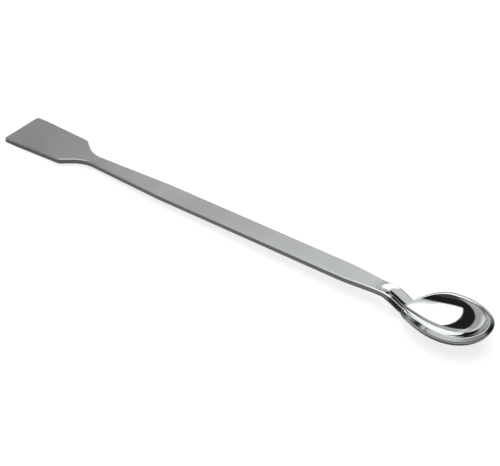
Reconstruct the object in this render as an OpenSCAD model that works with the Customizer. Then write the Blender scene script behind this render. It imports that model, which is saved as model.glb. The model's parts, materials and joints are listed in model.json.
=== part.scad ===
// Double-ended laboratory spatula, made as one piece of polished stainless steel sheet.
// One end is a flat blade that widens towards its front edge, the other a pressed,
// egg-shaped spoon. The length runs along +X, from the blade to the spoon's tip.
// The part lies as it comes to rest, on the undersides of the blade and the bowl, with
// z = 0 at the surface below it.

/* [Sheet] */
// Length from the blade's front edge to the rim at the spoon's tip
total_l = 200; // [165:5:240]
// Thickness of the sheet
sheet_t = 2.05; // [1.5:0.05:2.5]
// Radius of the polished edges, on the upper and the lower side
edge_r = 0.5; // [0.3:0.05:0.6]

/* [Blade] */
// Thickness of the blade at its front edge
front_t = 1.5; // [1.25:0.05:2]
// Length over which both faces of the blade slope towards its front edge
front_taper_l = 6; // [4:0.1:12]
// Width of the blade at its front edge
blade_front_w = 18.3; // [14:0.1:24]
// Width of the blade at its shoulders
blade_back_w = 15.9; // [13:0.1:22]
// Length of the blade from its front edge to its shoulders
blade_l = 26.8; // [20:0.1:34]
// Corner radius at the blade's front edge
blade_corner_r = 1.5; // [1:0.1:3]
// Corner radius at the shoulders
shoulder_r = 2; // [1:0.1:4]
// Length over which the shoulders narrow to the blade's neck
shoulder_l = 7.5; // [5:0.1:12]
// Hollow radius where the shoulders run into the neck
shoulder_hollow_r = 13; // [6:0.5:20]

/* [Handle] */
// Width of the neck behind the blade
blade_neck_w = 4.6; // [3.5:0.1:7]
// Length over which the handle widens behind that neck
widening_l = 36.7; // [24:0.1:45]
// Width of the handle at its blade end
handle_front_w = 7.9; // [7:0.1:11]
// Width of the handle at its spoon end
handle_back_w = 8; // [7:0.1:11]
// Length over which the handle narrows to the spoon's neck
narrowing_l = 11.8; // [8:0.1:18]
// Blend radius where the handle's width changes
handle_blend_r = 60; // [30:5:90]

/* [Spoon] */
// Width of the neck in front of the spoon
spoon_neck_w = 5.9; // [4.5:0.1:7.5]
// Distance from that neck to the spoon's tip
spoon_neck_to_tip = 39.2; // [34:0.1:44]
// Width of the spoon at its rim; its tilted wall stands a little wider below it
spoon_w = 19.5; // [17:0.1:24]
// Distance from the spoon's widest place to its tip, along the length
spoon_half_l = 14.1; // [12:0.1:17]
// How much the spoon's outline leans towards its tip, 0 for an ellipse
spoon_egg = 0.11; // [0:0.01:0.2]
// Width difference over which the neck flares into the spoon
flare_w = 6; // [3:0.1:7]
// Softness of the outline where that flare begins
flare_softness = 0.04; // [0.02:0.01:0.1]

/* [Bowl] */
// Depth of the hollow's floor below the plane it is pressed from
bowl_depth = 6.2; // [4:0.1:7.5]
// Height of that plane above the handle
rim_rise = 1; // [0:0.1:2]
// Length over which the sheet rises to that plane
rise_l = 14; // [10:0.5:18]
// Distance from the start of that rise to the spoon's tip
rise_to_tip = 35; // [31:0.5:38]
// Length of the hollow from its deepest place to the tip
hollow_half_l = 15.5; // [13:0.1:18]
// How much the hollow widens from there to the tip, 0 for an ellipse
hollow_egg = 0.25; // [0:0.01:0.3]
// Length of the hollow from its deepest place to the neck
entry_half_l = 18.5; // [16:0.5:21]
// How much the hollow narrows from there to the neck, 0 for an ellipse
entry_egg = 0.4; // [0:0.05:0.5]
// How far the hollow's own edge lies outside the spoon's outline, less than 0 for inside
hollow_margin = -0.4; // [-0.6:0.1:1]
// Softness of the hollow's wall, small for steep sides and a flat floor
wall_softness = 0.2; // [0.1:0.01:0.6]
// Softness of the bend between the hollow's wall and its rim
rim_softness = 0.04; // [0.02:0.01:0.2]
// Further softness where the neck dips into the hollow
entry_softness = 0.5; // [0.3:0.05:1]

/* [Hidden] */

steel = [0.74, 0.75, 0.74];

// Facet counts: across the sheet, round each bend of the outline, along the spoon
// from its neck to its widest place, from there to the tip, and round a sheet edge.
ACROSS = 14;
BEND_STEPS = 7;
CORNER_STEPS = 5;
BOWL_STEPS = 26;
TIP_STEPS = 14;
EDGE_STEPS = 3;
// Angle from the widest place at which the rows begin to close the tip
TIP_CLOSE = 62;
// Step for slopes taken by difference
DELTA = 0.001;

// ---- Lengths measured from the blade's front edge ----
blade_neck_x = blade_l + shoulder_l;
handle_front_x = blade_neck_x + widening_l;
spoon_neck_x = total_l - spoon_neck_to_tip;
handle_back_x = spoon_neck_x - narrowing_l;
rise_x = total_l - rise_to_tip;

// ---- Outline of the upper face, which ends edge_r short of the outer edge ----
face_front_x = edge_r;
face_tip_x = total_l - edge_r;
spoon_x = total_l - spoon_half_l;
face_half_l = face_tip_x - spoon_x;
face_spoon_w = spoon_w / 2 - edge_r;
face_corner_r = blade_corner_r - edge_r;

// Half width of the blade and handle at each place where it changes
bar = [
    [face_front_x, blade_front_w / 2 - edge_r],
    [blade_l, blade_back_w / 2 - edge_r],
    [blade_neck_x, blade_neck_w / 2 - edge_r],
    [handle_front_x, handle_front_w / 2 - edge_r],
    [handle_back_x, handle_back_w / 2 - edge_r],
    [spoon_neck_x, spoon_neck_w / 2 - edge_r],
    [total_l, spoon_neck_w / 2 - edge_r]
];
bar_radii = [shoulder_r, shoulder_hollow_r, handle_blend_r, handle_blend_r, handle_blend_r];

function unit(v) = v / norm(v);
function clamp01(t) = min(max(t, 0), 1);
function smooth_step(t) = let (c = clamp01(t)) c * c * c * (c * (6 * c - 15) + 10);

// Larger of a and b, rounded where they differ by less than k
function smooth_max(a, b, k) =
    let (h = max(k - abs(a - b), 0) / k)
    max(a, b) + h * h * h * k / 6;

// Arc that rounds one corner of the bar, as its two ends in x, its centre, its radius
// and the side of the centre on which it lies
function bend(i) =
    let (
        p = bar[i],
        back = bar[i - 1] - p,
        ahead = bar[i + 1] - p,
        half = acos(unit(back) * unit(ahead)) / 2,
        room = min(norm(back), norm(ahead)) / 2,
        reach = min(bar_radii[i - 1] / tan(half), room),
        r = reach * tan(half),
        centre = p + unit(unit(back) + unit(ahead)) * r / sin(half)
    )
    [p[0] + unit(back)[0] * reach, p[0] + unit(ahead)[0] * reach, centre, r,
     centre[1] > p[1] ? -1 : 1];

bends = [for (i = [1 : len(bar) - 2]) bend(i)];

function bar_half_w(x) =
    let (on = [for (b = bends) if (x >= b[0] && x <= b[1]) b][0])
    is_undef(on) ? lookup(x, bar)
    : on[2][1] + on[4] * sqrt(max(on[3] * on[3] - pow(x - on[2][0], 2), 0));

// The spoon's egg, with u from -1 at its neck side to 0 at its widest place
function egg_half_w(x) =
    let (
        u = (x - spoon_x) / face_half_l,
        a = 1 - u * u,
        egg = face_spoon_w * (1 + spoon_egg * max(u, -1))
    )
    egg * a * sqrt((1 + flare_softness) / (max(a, 0) + flare_softness));

flare = min(flare_w, (spoon_w - spoon_neck_w) / 2);
function half_w(x) = smooth_max(bar_half_w(x), egg_half_w(x), flare);

// ---- Upper surface: flat, with the hollow pressed into it and the rim raised ----
hollow_x = total_l + hollow_margin - hollow_half_l;
hollow_half_w = spoon_w / 2 + hollow_margin;

function hollow_depth(x, y) =
    let (
        u = (x - hollow_x) / (x > hollow_x ? hollow_half_l : entry_half_l),
        lean = u > 0 ? hollow_egg : entry_egg,
        w = y / (hollow_half_w * (1 + lean * min(max(u, -2), 2))),
        entry = entry_softness * pow(clamp01(-u), 2),
        inside = smooth_max(1 - u * u - w * w, 0, rim_softness + entry),
        s = wall_softness + entry
    )
    bowl_depth * (sqrt(s * s + inside) - s) / (sqrt(s * s + 1) - s);

// Height that the taper at the blade's front edge takes off each face
function taper(x) = (sheet_t - front_t) / 2 * clamp01(1 - x / front_taper_l);
function thickness(x) = sheet_t - 2 * taper(x);

function upper_z(x, y) =
    rim_rise * smooth_step((x - rise_x) / rise_l) - hollow_depth(x, y) - taper(x);

function on_upper(p) = [p[0], p[1], upper_z(p[0], p[1])];

function upper_normal(p) = unit([
    (upper_z(p[0] - DELTA, p[1]) - upper_z(p[0] + DELTA, p[1])) / (2 * DELTA),
    (upper_z(p[0], p[1] - DELTA) - upper_z(p[0], p[1] + DELTA)) / (2 * DELTA),
    1
]);

// ---- Rows of points across the upper face, from the blade to the tip ----
bowl_start_x = min(
    spoon_neck_x,
    hollow_x - entry_half_l * sqrt(1 + rim_softness + entry_softness)
);

corner_rows = [
    for (i = [0 : CORNER_STEPS])
    let (a = 90 * i / CORNER_STEPS)
    [face_front_x + face_corner_r * (1 - cos(a)), bar[0][1] - face_corner_r * (1 - sin(a))]
];
bend_xs = [
    for (b = bends)
    for (i = [0 : BEND_STEPS])
    let (x = b[0] + (b[1] - b[0]) * i / BEND_STEPS)
    if (x < bowl_start_x - 1) x
];
bowl_xs = [
    for (i = [0 : BOWL_STEPS - 1]) bowl_start_x + (spoon_x - bowl_start_x) * i / BOWL_STEPS
];
bar_rows = [for (x = concat([front_taper_l], bend_xs, bowl_xs)) [x, half_w(x)]];

function straight_row(r) = [
    for (j = [-ACROSS : 2 : ACROSS]) on_upper([r[0], r[1] * j / ACROSS])
];

// Rows past the widest place bow outwards until the last one follows the tip
function tip_row(i) =
    let (a = TIP_CLOSE * i / TIP_STEPS, bow = pow(i / TIP_STEPS, 2))
    [
        for (j = [-ACROSS : 2 : ACROSS])
        let (
            c = cos(a) * j / ACROSS,
            u = sin(a) + bow * (sqrt(1 - c * c) - sin(a))
        )
        on_upper([spoon_x + face_half_l * u, face_spoon_w * c * (1 + spoon_egg * u)])
    ];

upper = concat(
    [for (r = concat(corner_rows, bar_rows)) straight_row(r)],
    [for (i = [0 : TIP_STEPS]) tip_row(i)]
);
normals = [for (row = upper) [for (p = row) upper_normal(p)]];
lower = [
    for (i = [0 : len(upper) - 1])
    [for (j = [0 : ACROSS]) upper[i][j] - thickness(upper[i][j][0]) * normals[i][j]]
];

// ---- The rim as one loop of [row, place in the row], seen from above anticlockwise ----
LAST = len(upper) - 1;
rim = concat(
    [for (i = [0 : LAST - 1]) [i, 0]],
    [for (j = [0 : ACROSS - 1]) [LAST, j]],
    [for (i = [LAST : -1 : 1]) [i, ACROSS]],
    [for (j = [ACROSS : -1 : 1]) [0, j]]
);
N_RIM = len(rim);
function at(grid, k) = let (r = rim[(k + N_RIM) % N_RIM]) grid[r[0]][r[1]];
function outwards(k) =
    let (
        p = at(upper, k),
        along = unit(unit(at(upper, k + 1) - p) + unit(p - at(upper, k - 1)))
    )
    unit(cross(along, at(normals, k)));

// Rounded edge of the sheet, as [distance outwards, share of the thickness below the
// upper face, further distance below it]
edge_profile = concat(
    [
        for (i = [1 : EDGE_STEPS])
        let (a = 90 * i / EDGE_STEPS)
        [edge_r * sin(a), 0, edge_r * (1 - cos(a))]
    ],
    [
        for (i = [EDGE_STEPS : -1 : 1])
        let (a = 90 * i / EDGE_STEPS)
        [edge_r * sin(a), 1, -edge_r * (1 - cos(a))]
    ]
);
edge = [
    for (e = edge_profile)
    [
        for (k = [0 : N_RIM - 1])
        let (p = at(upper, k))
        p + e[0] * outwards(k) - (e[1] * thickness(p[0]) + e[2]) * at(normals, k)
    ]
];

// ---- One list of points and the faces between them ----
function flatten(rows) = [for (row = rows) for (p = row) p];
N_GRID = len(upper) * (ACROSS + 1);
flat_points = concat(flatten(upper), flatten(lower), flatten(edge));

function upper_id(i, j) = i * (ACROSS + 1) + j;
function lower_id(i, j) = N_GRID + upper_id(i, j);
// Ring 0 is the rim of the upper face, the last ring is the rim of the lower one
N_RINGS = len(edge_profile) + 2;
function ring_id(ring, k) =
    let (m = k % N_RIM, r = rim[m])
    ring == 0 ? upper_id(r[0], r[1])
    : ring == N_RINGS - 1 ? lower_id(r[0], r[1])
    : 2 * N_GRID + (ring - 1) * N_RIM + m;

cells = [for (i = [0 : LAST - 1]) for (j = [0 : ACROSS - 1]) [i, j]];
// Each cell is split along the diagonal that mirrors across the sheet's middle
function split(a, b, c, d, other) = other ? [[a, b, d], [b, c, d]] : [[a, b, c], [a, c, d]];
upper_faces = [
    for (c = cells)
    for (f = split(upper_id(c[0], c[1]), upper_id(c[0], c[1] + 1),
                   upper_id(c[0] + 1, c[1] + 1), upper_id(c[0] + 1, c[1]),
                   c[1] < ACROSS / 2)) f
];
lower_faces = [
    for (c = cells)
    for (f = split(lower_id(c[0], c[1]), lower_id(c[0] + 1, c[1]),
                   lower_id(c[0] + 1, c[1] + 1), lower_id(c[0], c[1] + 1),
                   c[1] >= ACROSS / 2)) f
];
edge_faces = [
    for (g = [0 : N_RINGS - 2])
    for (k = [0 : N_RIM - 1])
    for (f = split(ring_id(g, k), ring_id(g, k + 1), ring_id(g + 1, k + 1), ring_id(g + 1, k),
                   false)) f
];

// ---- Attitude at rest: the undersides of the blade and the bowl on one plane ----
function turned(p, a) = [p[0] * cos(a) - p[2] * sin(a), p[1], p[0] * sin(a) + p[2] * cos(a)];
function lowest(points) = points[search(min([for (p = points) p[2]]),
                                        [for (p = points) p[2]])[0]];
blade_points = [for (p = flat_points) if (p[0] < blade_l) p];
bowl_points = [for (p = flat_points) if (p[0] > bowl_start_x) p];
function rest_angle(a, rounds) =
    let (
        front = lowest([for (p = blade_points) turned(p, a)]),
        bowl = lowest([for (p = bowl_points) turned(p, a)])
    )
    rounds == 0 ? a : rest_angle(a + atan((front[2] - bowl[2]) / (bowl[0] - front[0])),
                                 rounds - 1);
rest_a = rest_angle(0, 4);

turned_points = [for (p = flat_points) turned(p, rest_a)];
xs = [for (p = turned_points) p[0]];
rest_shift = [-(min(xs) + max(xs)) / 2, 0, -lowest(turned_points)[2]];

module spatula() {
    color(steel)
    polyhedron(
        points = [for (p = turned_points) p + rest_shift],
        faces = concat(upper_faces, lower_faces, edge_faces),
        convexity = 4
    );
}

spatula();
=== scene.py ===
"""Looks of the laboratory spatula: one smooth mesh of polished steel on a pale floor."""
import json
import math

import bpy
import numpy as np
from mathutils import Matrix, Vector


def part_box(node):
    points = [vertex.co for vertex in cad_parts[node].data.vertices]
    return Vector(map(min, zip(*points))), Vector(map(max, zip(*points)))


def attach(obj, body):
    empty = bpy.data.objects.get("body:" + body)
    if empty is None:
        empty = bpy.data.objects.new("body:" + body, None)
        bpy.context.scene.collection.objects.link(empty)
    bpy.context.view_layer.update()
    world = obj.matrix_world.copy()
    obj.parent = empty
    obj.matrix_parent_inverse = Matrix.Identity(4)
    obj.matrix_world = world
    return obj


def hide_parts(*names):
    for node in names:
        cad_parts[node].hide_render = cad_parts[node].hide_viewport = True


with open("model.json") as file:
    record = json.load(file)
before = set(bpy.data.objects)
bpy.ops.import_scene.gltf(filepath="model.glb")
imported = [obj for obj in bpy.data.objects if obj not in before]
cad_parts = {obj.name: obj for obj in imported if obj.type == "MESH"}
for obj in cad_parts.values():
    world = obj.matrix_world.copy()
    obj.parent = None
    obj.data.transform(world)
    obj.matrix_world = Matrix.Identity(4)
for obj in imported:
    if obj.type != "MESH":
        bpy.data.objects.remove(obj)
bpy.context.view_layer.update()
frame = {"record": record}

MM = 0.001

# ---- Driving sizes of the spatula, in millimetres, as in the CAD source ----
TOTAL_L = 200
SHEET_T = 2.05
EDGE_R = 0.5

FRONT_T = 1.5
FRONT_TAPER_L = 6
BLADE_FRONT_W = 18.3
BLADE_BACK_W = 15.9
BLADE_L = 26.8
BLADE_CORNER_R = 1.5
SHOULDER_R = 2
SHOULDER_L = 7.5
SHOULDER_HOLLOW_R = 13

BLADE_NECK_W = 4.6
WIDENING_L = 36.7
HANDLE_FRONT_W = 7.9
HANDLE_BACK_W = 8
NARROWING_L = 11.8
HANDLE_BLEND_R = 60

SPOON_NECK_W = 5.9
SPOON_NECK_TO_TIP = 39.2
SPOON_W = 19.5
SPOON_HALF_L = 14.1
SPOON_EGG = 0.11
FLARE_W = 6
FLARE_SOFTNESS = 0.04

BOWL_DEPTH = 6.2
RIM_RISE = 1
RISE_L = 14
RISE_TO_TIP = 35
HOLLOW_HALF_L = 15.5
HOLLOW_EGG = 0.25
ENTRY_HALF_L = 18.5
ENTRY_EGG = 0.4
HOLLOW_MARGIN = -0.4
WALL_SOFTNESS = 0.2
RIM_SOFTNESS = 0.04
ENTRY_SOFTNESS = 0.5

# ---- Mesh density: columns over the width, and rows along each stretch ----
ACROSS = 64
CORNER_ROWS = 10
TAPER_ROWS = 12
BEND_ROWS = 14
BOWL_ROWS = 84
TIP_ROWS = 40
EDGE_STEPS = 6
# Least gap between the rows of the last bend and those of the bowl
ROW_CLEARANCE = 0.3
# Angle at which the bowed rows of the tip close on the rim
TIP_CLOSE = math.radians(62)
# Step over which the slopes of the upper face are taken
DELTA = 1e-4

# ---- Lengths measured from the blade's front edge ----
BLADE_NECK_X = BLADE_L + SHOULDER_L
HANDLE_FRONT_X = BLADE_NECK_X + WIDENING_L
SPOON_NECK_X = TOTAL_L - SPOON_NECK_TO_TIP
HANDLE_BACK_X = SPOON_NECK_X - NARROWING_L
RISE_X = TOTAL_L - RISE_TO_TIP
SPOON_X = TOTAL_L - SPOON_HALF_L
HOLLOW_X = TOTAL_L + HOLLOW_MARGIN - HOLLOW_HALF_L
HOLLOW_HALF_W = SPOON_W / 2 + HOLLOW_MARGIN

# ---- Outline of the upper face, which ends EDGE_R short of the outer edge ----
FACE_HALF_L = SPOON_HALF_L - EDGE_R
FACE_SPOON_W = SPOON_W / 2 - EDGE_R
FACE_CORNER_R = BLADE_CORNER_R - EDGE_R
# Corners of the straight-sided bar from blade to neck, as (x, half width)
BAR = np.array([
    [EDGE_R, BLADE_FRONT_W / 2 - EDGE_R],
    [BLADE_L, BLADE_BACK_W / 2 - EDGE_R],
    [BLADE_NECK_X, BLADE_NECK_W / 2 - EDGE_R],
    [HANDLE_FRONT_X, HANDLE_FRONT_W / 2 - EDGE_R],
    [HANDLE_BACK_X, HANDLE_BACK_W / 2 - EDGE_R],
    [SPOON_NECK_X, SPOON_NECK_W / 2 - EDGE_R],
    [TOTAL_L, SPOON_NECK_W / 2 - EDGE_R],
])
BAR_RADII = [SHOULDER_R, SHOULDER_HOLLOW_R, HANDLE_BLEND_R, HANDLE_BLEND_R, HANDLE_BLEND_R]


def unit(v):
    return v / np.linalg.norm(v, axis=-1, keepdims=True)


def smooth_step(t):
    """Rise from 0 to 1 with level ends."""
    c = np.clip(t, 0, 1)
    return c * c * c * (c * (6 * c - 15) + 10)


def smooth_max(a, b, k):
    """Larger of a and b, rounded where they differ by less than k."""
    h = np.maximum(k - np.abs(a - b), 0) / k
    return np.maximum(a, b) + h * h * h * k / 6


def bend(i):
    """Arc that rounds one corner of the bar: its two ends in x, centre, radius and side."""
    p, back, ahead = BAR[i], BAR[i - 1] - BAR[i], BAR[i + 1] - BAR[i]
    half = math.acos(float(unit(back) @ unit(ahead))) / 2
    room = min(np.linalg.norm(back), np.linalg.norm(ahead)) / 2
    reach = min(BAR_RADII[i - 1] / math.tan(half), room)
    r = reach * math.tan(half)
    centre = p + unit(unit(back) + unit(ahead)) * r / math.sin(half)
    side = -1 if centre[1] > p[1] else 1
    return p[0] + unit(back)[0] * reach, p[0] + unit(ahead)[0] * reach, centre, r, side


BENDS = [bend(i) for i in range(1, len(BAR) - 1)]


def half_w(x):
    """Half width of the upper face at each place x along the length."""
    bar = np.interp(x, BAR[:, 0], BAR[:, 1])
    for x0, x1, centre, r, side in BENDS:
        arc = centre[1] + side * np.sqrt(np.maximum(r * r - (x - centre[0]) ** 2, 0))
        bar = np.where((x >= x0) & (x <= x1), arc, bar)
    u = (x - SPOON_X) / FACE_HALF_L
    a, f = 1 - u * u, FLARE_SOFTNESS
    egg = FACE_SPOON_W * (1 + SPOON_EGG * np.maximum(u, -1))
    egg = egg * a * np.sqrt((1 + f) / (np.maximum(a, 0) + f))
    return smooth_max(bar, egg, min(FLARE_W, (SPOON_W - SPOON_NECK_W) / 2))


def taper(x):
    """Height that the taper at the blade's front edge takes off each face."""
    return (SHEET_T - FRONT_T) / 2 * np.clip(1 - x / FRONT_TAPER_L, 0, 1)


def hollow_depth(x, y):
    """Depth of the pressed bowl, which runs out gently on the side of the handle."""
    u = (x - HOLLOW_X) / np.where(x > HOLLOW_X, HOLLOW_HALF_L, ENTRY_HALF_L)
    lean = np.where(u > 0, HOLLOW_EGG, ENTRY_EGG)
    w = y / (HOLLOW_HALF_W * (1 + lean * np.clip(u, -2, 2)))
    entry = ENTRY_SOFTNESS * np.clip(-u, 0, 1) ** 2
    inside = smooth_max(1 - u * u - w * w, 0 * u, RIM_SOFTNESS + entry)
    s = WALL_SOFTNESS + entry
    return BOWL_DEPTH * (np.sqrt(s * s + inside) - s) / (np.sqrt(s * s + 1) - s)


def upper_z(x, y):
    """Height of the upper face, with the handle's face at 0."""
    return RIM_RISE * smooth_step((x - RISE_X) / RISE_L) - hollow_depth(x, y) - taper(x)


def bowl_start_x():
    """Place where the closely spaced rows of the bowl start."""
    reach = ENTRY_HALF_L * math.sqrt(1 + RIM_SOFTNESS + ENTRY_SOFTNESS)
    return min(SPOON_NECK_X, HOLLOW_X - reach)


def rows():
    """Rows of (x, y) across the upper face, from the blade's front edge to the tip."""
    across = np.linspace(-1, 1, ACROSS + 1)
    a = np.linspace(0, math.pi / 2, CORNER_ROWS)
    corner_x = EDGE_R + FACE_CORNER_R * (1 - np.cos(a))
    corner_y = BAR[0, 1] - FACE_CORNER_R * (1 - np.sin(a))
    bowl_start = bowl_start_x()
    row_gap = FRONT_TAPER_L / TAPER_ROWS
    taper_x = np.arange(corner_x[-1] + row_gap, FRONT_TAPER_L + row_gap, row_gap)
    bend_x = np.concatenate([np.linspace(b[0], b[1], BEND_ROWS) for b in BENDS])
    bar_x = np.concatenate([
        taper_x,
        bend_x[bend_x < bowl_start - ROW_CLEARANCE],
        np.linspace(bowl_start, SPOON_X, BOWL_ROWS, endpoint=False),
    ])
    row_x = np.concatenate([corner_x, bar_x])
    row_y = np.concatenate([corner_y, half_w(bar_x)])
    straight = [np.stack([np.full_like(across, x), y * across], -1) for x, y in zip(row_x, row_y)]
    # Past the spoon's widest place the rows bow forwards, so that the last one is the rim
    bowed = []
    for i in range(TIP_ROWS + 1):
        a = TIP_CLOSE * i / TIP_ROWS
        c = math.cos(a) * across
        u = math.sin(a) + (i / TIP_ROWS) ** 2 * (np.sqrt(1 - c * c) - math.sin(a))
        y = FACE_SPOON_W * c * (1 + SPOON_EGG * u)
        bowed.append(np.stack([SPOON_X + FACE_HALF_L * u, y], -1))
    return np.array(straight + bowed)


def rim_order(n_rows, n_cols):
    """The rim of the grid as one loop of (row, column), anticlockwise seen from above."""
    last_row, last_col = n_rows - 1, n_cols - 1
    return (
        [(i, 0) for i in range(last_row)]
        + [(last_row, j) for j in range(last_col)]
        + [(i, last_col) for i in range(last_row, 0, -1)]
        + [(0, j) for j in range(last_col, 0, -1)]
    )


def edge_rings(p, n, t, out):
    """Rings that round the ground edge, from the upper face's rim p to the lower face's."""
    rings, ring_normals, ground = [], [], []
    steps = list(range(1, EDGE_STEPS + 1))
    for side, order in ((1, steps), (-1, steps[::-1])):
        for i in order:
            a = math.pi / 2 * i / EDGE_STEPS
            fall = EDGE_R * (1 - math.cos(a))
            depth = fall if side > 0 else t - fall
            rings.append(p + EDGE_R * math.sin(a) * out - depth * n)
            ring_normals.append(side * math.cos(a) * n + math.sin(a) * out)
            ground.append(np.full(len(p), i / EDGE_STEPS))
    return rings, ring_normals, ground


def sheet_quads(n_rows, n_cols, rim, n_rings):
    """Quads of the upper face, of the lower face and of the edge between them."""
    n_grid, n_rim = n_rows * n_cols, len(rim)
    grid = np.arange(n_grid).reshape(n_rows, n_cols)
    ri, rj = np.array(rim).T
    loops = [grid[ri, rj]]
    loops += [2 * n_grid + k * n_rim + np.arange(n_rim) for k in range(n_rings)]
    loops += [n_grid + grid[ri, rj]]
    a, b, c, d = grid[:-1, :-1], grid[:-1, 1:], grid[1:, 1:], grid[1:, :-1]
    quads = [np.stack([a, d, c, b], -1).reshape(-1, 4)]
    quads += [np.stack([a, b, c, d], -1).reshape(-1, 4) + n_grid]
    for high, low in zip(loops, loops[1:]):
        quads.append(np.stack([high, low, np.roll(low, -1), np.roll(high, -1)], -1))
    return np.concatenate(quads)


def sheet_mesh():
    """Points, normals, quads and the share of ground edge, with the handle's face at z 0."""
    xy = rows()
    x, y = xy[..., 0], xy[..., 1]
    upper = np.stack([x, y, upper_z(x, y)], -1)
    slope_x = (upper_z(x + DELTA, y) - upper_z(x - DELTA, y)) / (2 * DELTA)
    slope_y = (upper_z(x, y + DELTA) - upper_z(x, y - DELTA)) / (2 * DELTA)
    normal = unit(np.stack([-slope_x, -slope_y, np.ones_like(x)], -1))
    thick = (SHEET_T - 2 * taper(x))[..., None]
    lower = upper - thick * normal

    n_rows, n_cols = x.shape
    rim = rim_order(n_rows, n_cols)
    ri, rj = np.array(rim).T
    p, n, t = upper[ri, rj], normal[ri, rj], thick[ri, rj]
    along = unit(unit(np.roll(p, -1, 0) - p) + unit(p - np.roll(p, 1, 0)))
    out = unit(np.cross(along, n))
    rings, ring_normals, ground = edge_rings(p, n, t, out)

    quads = sheet_quads(n_rows, n_cols, rim, len(rings))
    points = np.concatenate([upper.reshape(-1, 3), lower.reshape(-1, 3), *rings])
    normals = np.concatenate([normal.reshape(-1, 3), -normal.reshape(-1, 3), *ring_normals])
    edge = np.concatenate([np.zeros(2 * n_rows * n_cols), *ground])
    return points, normals, quads, edge


def at_rest(points, normals):
    """Turns and shifts the sheet as the CAD part lies, in metres, by its upper flat face."""
    mounts = {m["name"]: m for m in frame["record"]["mounts"]}
    face = mounts["handle_upper_face"]
    a = math.atan2(-face["axis"][0], face["axis"][2])
    turn = np.array([[math.cos(a), 0, -math.sin(a)], [0, 1, 0], [math.sin(a), 0, math.cos(a)]])
    points, normals = points * MM @ turn.T, normals @ turn.T
    shift_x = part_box("spatula")[0].x - points[:, 0].min()
    shift_z = face["pos_m"][2] - (face["pos_m"][0] - shift_x) * math.tan(a)
    return points + [shift_x, 0, shift_z], normals


def build_spatula():
    """The visible piece, with exact normals and the share of ground edge as an attribute."""
    points, normals, quads, edge = sheet_mesh()
    points, normals = at_rest(points, normals)
    mesh = bpy.data.meshes.new("spatula_surface")
    mesh.from_pydata(points.tolist(), [], quads.tolist())
    mesh.polygons.foreach_set("use_smooth", [True] * len(mesh.polygons))
    mesh.normals_split_custom_set_from_vertices(normals.tolist())
    ground = mesh.attributes.new("ground_edge", "FLOAT", "POINT")
    ground.data.foreach_set("value", edge.astype(np.float32))
    obj = bpy.data.objects.new("spatula_surface", mesh)
    bpy.context.scene.collection.objects.link(obj)
    return obj


# ---- Node helpers ----
class Nodes:
    """Adds nodes to a tree, with inputs that are numbers, colours or other nodes' outputs."""

    def __init__(self, tree):
        self.tree = tree
        tree.nodes.clear()

    def add(self, kind, inputs=None, **settings):
        """Adds a node: inputs that come from other nodes are linked, the others are set."""
        node = self.tree.nodes.new(kind)
        for name, value in settings.items():
            setattr(node, name, value)
        for key, value in (inputs or {}).items():
            if isinstance(value, bpy.types.NodeSocket):
                self.tree.links.new(value, node.inputs[key])
            else:
                node.inputs[key].default_value = value
        return node

    def math(self, operation, *values):
        node = self.add("ShaderNodeMath", dict(enumerate(values)), operation=operation)
        return node.outputs[0]

    def vector(self, operation, *values):
        node = self.add("ShaderNodeVectorMath", dict(enumerate(values)), operation=operation)
        return node.outputs["Value" if operation == "DOT_PRODUCT" else "Vector"]

    def scaled(self, color, factor):
        inputs = {0: color, "Scale": factor}
        return self.add("ShaderNodeVectorMath", inputs, operation="SCALE").outputs["Vector"]

    def remap(self, value, start, stop, low=0.0, high=1.0):
        """Goes smoothly from low to high as the value goes from start to stop."""
        inputs = {
            "Value": value, "From Min": start, "From Max": stop, "To Min": low, "To Max": high,
        }
        node = self.add("ShaderNodeMapRange", inputs, interpolation_type="SMOOTHSTEP")
        return node.outputs["Result"]

    def noise(self, place, scale, detail, roughness=0.5):
        inputs = {"Vector": place, "Scale": scale, "Detail": detail, "Roughness": roughness}
        return self.add("ShaderNodeTexNoise", inputs).outputs["Fac"]


# ---- Steel: satin on blade and handle, mirror polish in the bowl ----
STEEL = (0.785, 0.815, 0.795)
# Roughness of each finish, and how much it varies from place to place
SATIN = 0.34
SATIN_SPREAD = 0.05
MIRROR = 0.04
MIRROR_SPREAD = 0.02
# Places along the length, in metres, between which satin turns to mirror
BOWL_POLISH_X = (0.056, 0.066)
# Places along the length between which the painted shade on the blade, darkest at its front end,
# fades to full brightness
BLADE_SHADE_X = (-0.105, -0.03)
BLADE_SHADE_TONE = 0.72
# The ground edge is rougher than the faces, and darker: partly its duller finish, partly painted
# shade on what the edge mirrors
EDGE_ROUGHER = 0.16
EDGE_ROUGH_FROM = 0.35
EDGE_DULL_AND_SHADE = 0.45
EDGE_DULL_AND_SHADE_FROM = 0.5
# Large faint patches, small clouds in the polish, and polishing lines along the length
PATCH_SCALE = 22.0
PATCH_TONE = 0.96
CLOUD_SCALE = 90.0
LINES_STRETCH = (60.0, 2600.0, 2600.0)
LINES_STRENGTH = 0.04
LINES_DEPTH = 0.0001
# Range that the middle values of a noise cover
NOISE_LOW, NOISE_HIGH = 0.3, 0.7


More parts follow.
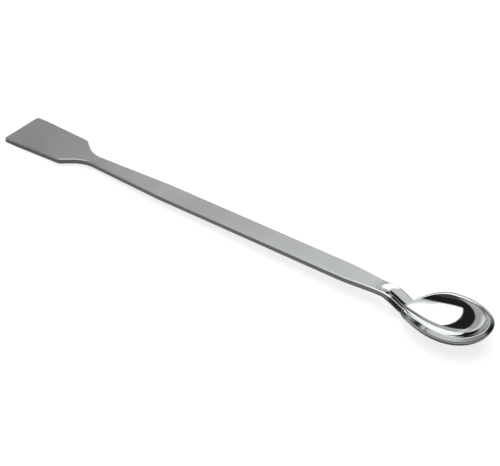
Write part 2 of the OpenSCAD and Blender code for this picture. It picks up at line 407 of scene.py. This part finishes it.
def steel_material():
    """Polished steel, whose finish and tone change along the length and at the edge; the darker
    tone is painted shade on the blade, and partly painted shade on the edge.
    """
    material = bpy.data.materials.new("polished_steel")
    material.use_nodes = True
    n = Nodes(material.node_tree)
    place = n.add("ShaderNodeTexCoord").outputs["Object"]
    edge = n.add("ShaderNodeAttribute", attribute_name="ground_edge").outputs["Fac"]

    # Polishing runs along the length, so its lines are noise stretched along X
    lines_place = n.vector("MULTIPLY", place, LINES_STRETCH)
    lines = n.noise(lines_place, 1.0, detail=4.0, roughness=0.6)
    cloud = n.noise(place, CLOUD_SCALE, detail=4.0)
    patch = n.noise(place, PATCH_SCALE, detail=2.0)

    along = n.add("ShaderNodeSeparateXYZ", {0: place}).outputs["X"]
    in_bowl = n.remap(along, *BOWL_POLISH_X)
    satin = n.remap(cloud, NOISE_LOW, NOISE_HIGH, SATIN, SATIN + SATIN_SPREAD)
    mirror = n.remap(cloud, NOISE_LOW, NOISE_HIGH, MIRROR, MIRROR + MIRROR_SPREAD)
    rough = n.math("ADD", satin, n.math("MULTIPLY", in_bowl, n.math("SUBTRACT", mirror, satin)))
    rough = n.math("ADD", rough, n.remap(edge, EDGE_ROUGH_FROM, 1.0, 0.0, EDGE_ROUGHER))
    tone = n.remap(patch, NOISE_LOW, NOISE_HIGH, PATCH_TONE, 1.0)
    # Darker ground edge: partly a duller finish, partly painted shade
    tone = n.math("MULTIPLY", tone, n.remap(edge, EDGE_DULL_AND_SHADE_FROM, 1.0, 1.0, EDGE_DULL_AND_SHADE))
    # Painted shade: the blade is darker towards its front end
    tone = n.math("MULTIPLY", tone, n.remap(along, *BLADE_SHADE_X, BLADE_SHADE_TONE, 1.0))
    color = n.scaled(STEEL, tone)
    bump_inputs = {"Height": lines, "Strength": LINES_STRENGTH, "Distance": LINES_DEPTH}
    bump = n.add("ShaderNodeBump", bump_inputs)
    shader = n.add(
        "ShaderNodeBsdfPrincipled",
        {"Base Color": color, "Metallic": 1.0, "Roughness": rough, "Normal": bump.outputs[0]},
    )
    n.add("ShaderNodeOutputMaterial", {"Surface": shader.outputs[0]})
    return material


# ---- Studio: lamp, floor, soft light from all round, camera ----
LAMP_STRENGTH = 2.2
LAMP_ANGLE = math.radians(70)
LAMP_TILT = math.radians(-12)


def build_lamp():
    """Soft light from above, which is not mirrored in the steel."""
    data = bpy.data.lights.new("floor_lamp", "SUN")
    data.energy = LAMP_STRENGTH
    data.angle = LAMP_ANGLE
    lamp = bpy.data.objects.new("floor_lamp", data)
    bpy.context.scene.collection.objects.link(lamp)
    lamp.rotation_euler = (LAMP_TILT, LAMP_TILT, 0)
    lamp.visible_glossy = False


FLOOR_SIZE = 6.0
# The pale floor as it is seen: the share of light that it sends back, and its own glow
FLOOR_WHITE = 0.25
FLOOR_GLOW = 0.8
# Painted shade in the steel's reflections: the floor as the steel mirrors it is darker in front
# of the spatula than behind it
FLOOR_IN_STEEL = 0.33
FLOOR_BEHIND = 0.95
FLOOR_CHANGE_Y = (0.0, 0.03)


def build_floor():
    """Plain pale floor, with painted shade in the steel's reflections: there it is dimmer than as
    seen.
    """
    h = FLOOR_SIZE / 2
    mesh = bpy.data.meshes.new("floor")
    mesh.from_pydata([(-h, -h, 0), (h, -h, 0), (h, h, 0), (-h, h, 0)], [], [(0, 1, 2, 3)])
    floor = bpy.data.objects.new("floor", mesh)
    bpy.context.scene.collection.objects.link(floor)
    material = bpy.data.materials.new("floor")
    material.use_nodes = True
    n = Nodes(material.node_tree)
    soft = n.add("ShaderNodeBsdfDiffuse", {"Color": (FLOOR_WHITE, FLOOR_WHITE, FLOOR_WHITE, 1)})
    glow = n.add("ShaderNodeEmission", {"Color": (1, 1, 1, 1), "Strength": FLOOR_GLOW})
    pale = n.add("ShaderNodeAddShader", {0: soft.outputs[0], 1: glow.outputs[0]})
    place = n.add("ShaderNodeTexCoord").outputs["Object"]
    behind = n.add("ShaderNodeSeparateXYZ", {0: place}).outputs["Y"]
    # Painted shade: the dim copy of the floor, which only the steel's reflections see
    shade = n.remap(behind, *FLOOR_CHANGE_Y, FLOOR_IN_STEEL, FLOOR_BEHIND)
    dim = n.add("ShaderNodeBsdfDiffuse", {"Color": shade})
    mirrored = n.add("ShaderNodeLightPath").outputs["Is Glossy Ray"]
    mix = n.add("ShaderNodeMixShader", {0: mirrored, 1: pale.outputs[0], 2: dim.outputs[0]})
    n.add("ShaderNodeOutputMaterial", {"Surface": mix.outputs[0]})
    mesh.materials.append(material)


# Light from all round, as a plane of soft panels above the object: a direction (x, y, z)
# meets it at (x / z, y / z). Each panel gives its brightness and where its four sides
# start and stop fading, first along X and then along Y.
SOFTBOX = (1.45, (-0.66, -0.60), (-0.05, 0.15), (-1.05, -0.75), (1.02, 1.22))
BACKDROP = (0.45, (-1.90, -1.50), (-0.10, 0.20), (1.04, 1.20), (1.70, 1.90))
FAR_WALL = (0.65, (-0.05, 0.15), (0.60, 0.90), (-1.05, -0.75), (0.55, 0.80))
SIDE_WALL = (0.40, (-19.0, -17.0), (-1.50, -1.32), (-19.0, -16.0), (2.2, 2.6))
PANELS = [SOFTBOX, BACKDROP, SIDE_WALL, FAR_WALL]
# Heights, as z of a direction, at which the panels begin and reach full brightness
PANEL_HEIGHT = (0.05, 0.15)
# Brightness above and near the horizon, and the heights between which it changes
ZENITH = 0.015
HORIZON = 0.06
HORIZON_HEIGHT = (0.38, 0.28)
# A low wall in one direction, and how far round it a ray has to face to meet it
LOW_WALL = 0.34
LOW_WALL_SIDE = (-0.72, 0.69, 0.0)
LOW_WALL_FACING = (0.45, 0.75)


def build_world():
    """Dark studio with soft panels, which the steel mirrors."""
    world = bpy.data.worlds.new("studio")
    bpy.context.scene.world = world
    world.use_nodes = True
    n = Nodes(world.node_tree)
    ray = n.add("ShaderNodeTexCoord").outputs["Generated"]
    split = n.add("ShaderNodeSeparateXYZ", {0: ray})
    height = split.outputs["Z"]
    over = n.math("MAXIMUM", height, PANEL_HEIGHT[0])
    across = n.math("DIVIDE", split.outputs["X"], over)
    behind = n.math("DIVIDE", split.outputs["Y"], over)
    above = n.remap(height, *PANEL_HEIGHT)
    low = n.remap(height, *HORIZON_HEIGHT)
    facing = n.remap(n.vector("DOT_PRODUCT", ray, LOW_WALL_SIDE), *LOW_WALL_FACING)
    light = n.math("MULTIPLY_ADD", low, HORIZON - ZENITH, ZENITH)
    light = n.math("MULTIPLY_ADD", n.math("MULTIPLY", low, facing), LOW_WALL, light)
    for brightness, left, right, front, back in PANELS:
        inside = above
        for place, (start, stop) in ((across, left), (behind, front)):
            inside = n.math("MULTIPLY", inside, n.remap(place, start, stop))
        for place, (start, stop) in ((across, right), (behind, back)):
            inside = n.math("MULTIPLY", inside, n.remap(place, stop, start))
        light = n.math("MULTIPLY_ADD", inside, brightness, light)
    sky = n.add("ShaderNodeBackground", {"Color": (1, 1, 1, 1), "Strength": light})
    n.add("ShaderNodeOutputWorld", {"Surface": sky.outputs[0]})


# The camera circles the middle of the length. Sizes are in millimetres and degrees, and
# aside and down shift it in its own picture plane.
CAMERA_AZIMUTH = 37.58
CAMERA_ELEVATION = 37.77
CAMERA_DISTANCE = 479.5
CAMERA_ASIDE = 6.95
CAMERA_DOWN = 1.14
CAMERA_LENS = 100.8
SENSOR_WIDTH = 36.0


def build_camera():
    """Camera that looks down on the spatula, with the spoon nearest."""
    a, e = math.radians(CAMERA_AZIMUTH), math.radians(CAMERA_ELEVATION)
    back = Vector((math.sin(a) * math.cos(e), -math.cos(a) * math.cos(e), math.sin(e)))
    right = Vector((math.cos(a), math.sin(a), 0))
    up = back.cross(right)
    middle = Vector((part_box("spatula")[0].x + TOTAL_L / 2 * MM, 0, 0))
    data = bpy.data.cameras.new("camera")
    data.lens = CAMERA_LENS
    data.sensor_width = SENSOR_WIDTH
    camera = bpy.data.objects.new("camera", data)
    bpy.context.scene.collection.objects.link(camera)
    place = middle + MM * (CAMERA_DISTANCE * back + CAMERA_ASIDE * right - CAMERA_DOWN * up)
    turn = Matrix((right, up, back)).transposed().to_4x4()
    camera.matrix_world = Matrix.Translation(place) @ turn
    bpy.context.scene.camera = camera


build_camera()
build_floor()
build_lamp()
build_world()
bpy.context.scene.view_settings.view_transform = "Standard"

spatula = build_spatula()
spatula.data.materials.append(steel_material())
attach(spatula, "root")
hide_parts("spatula")
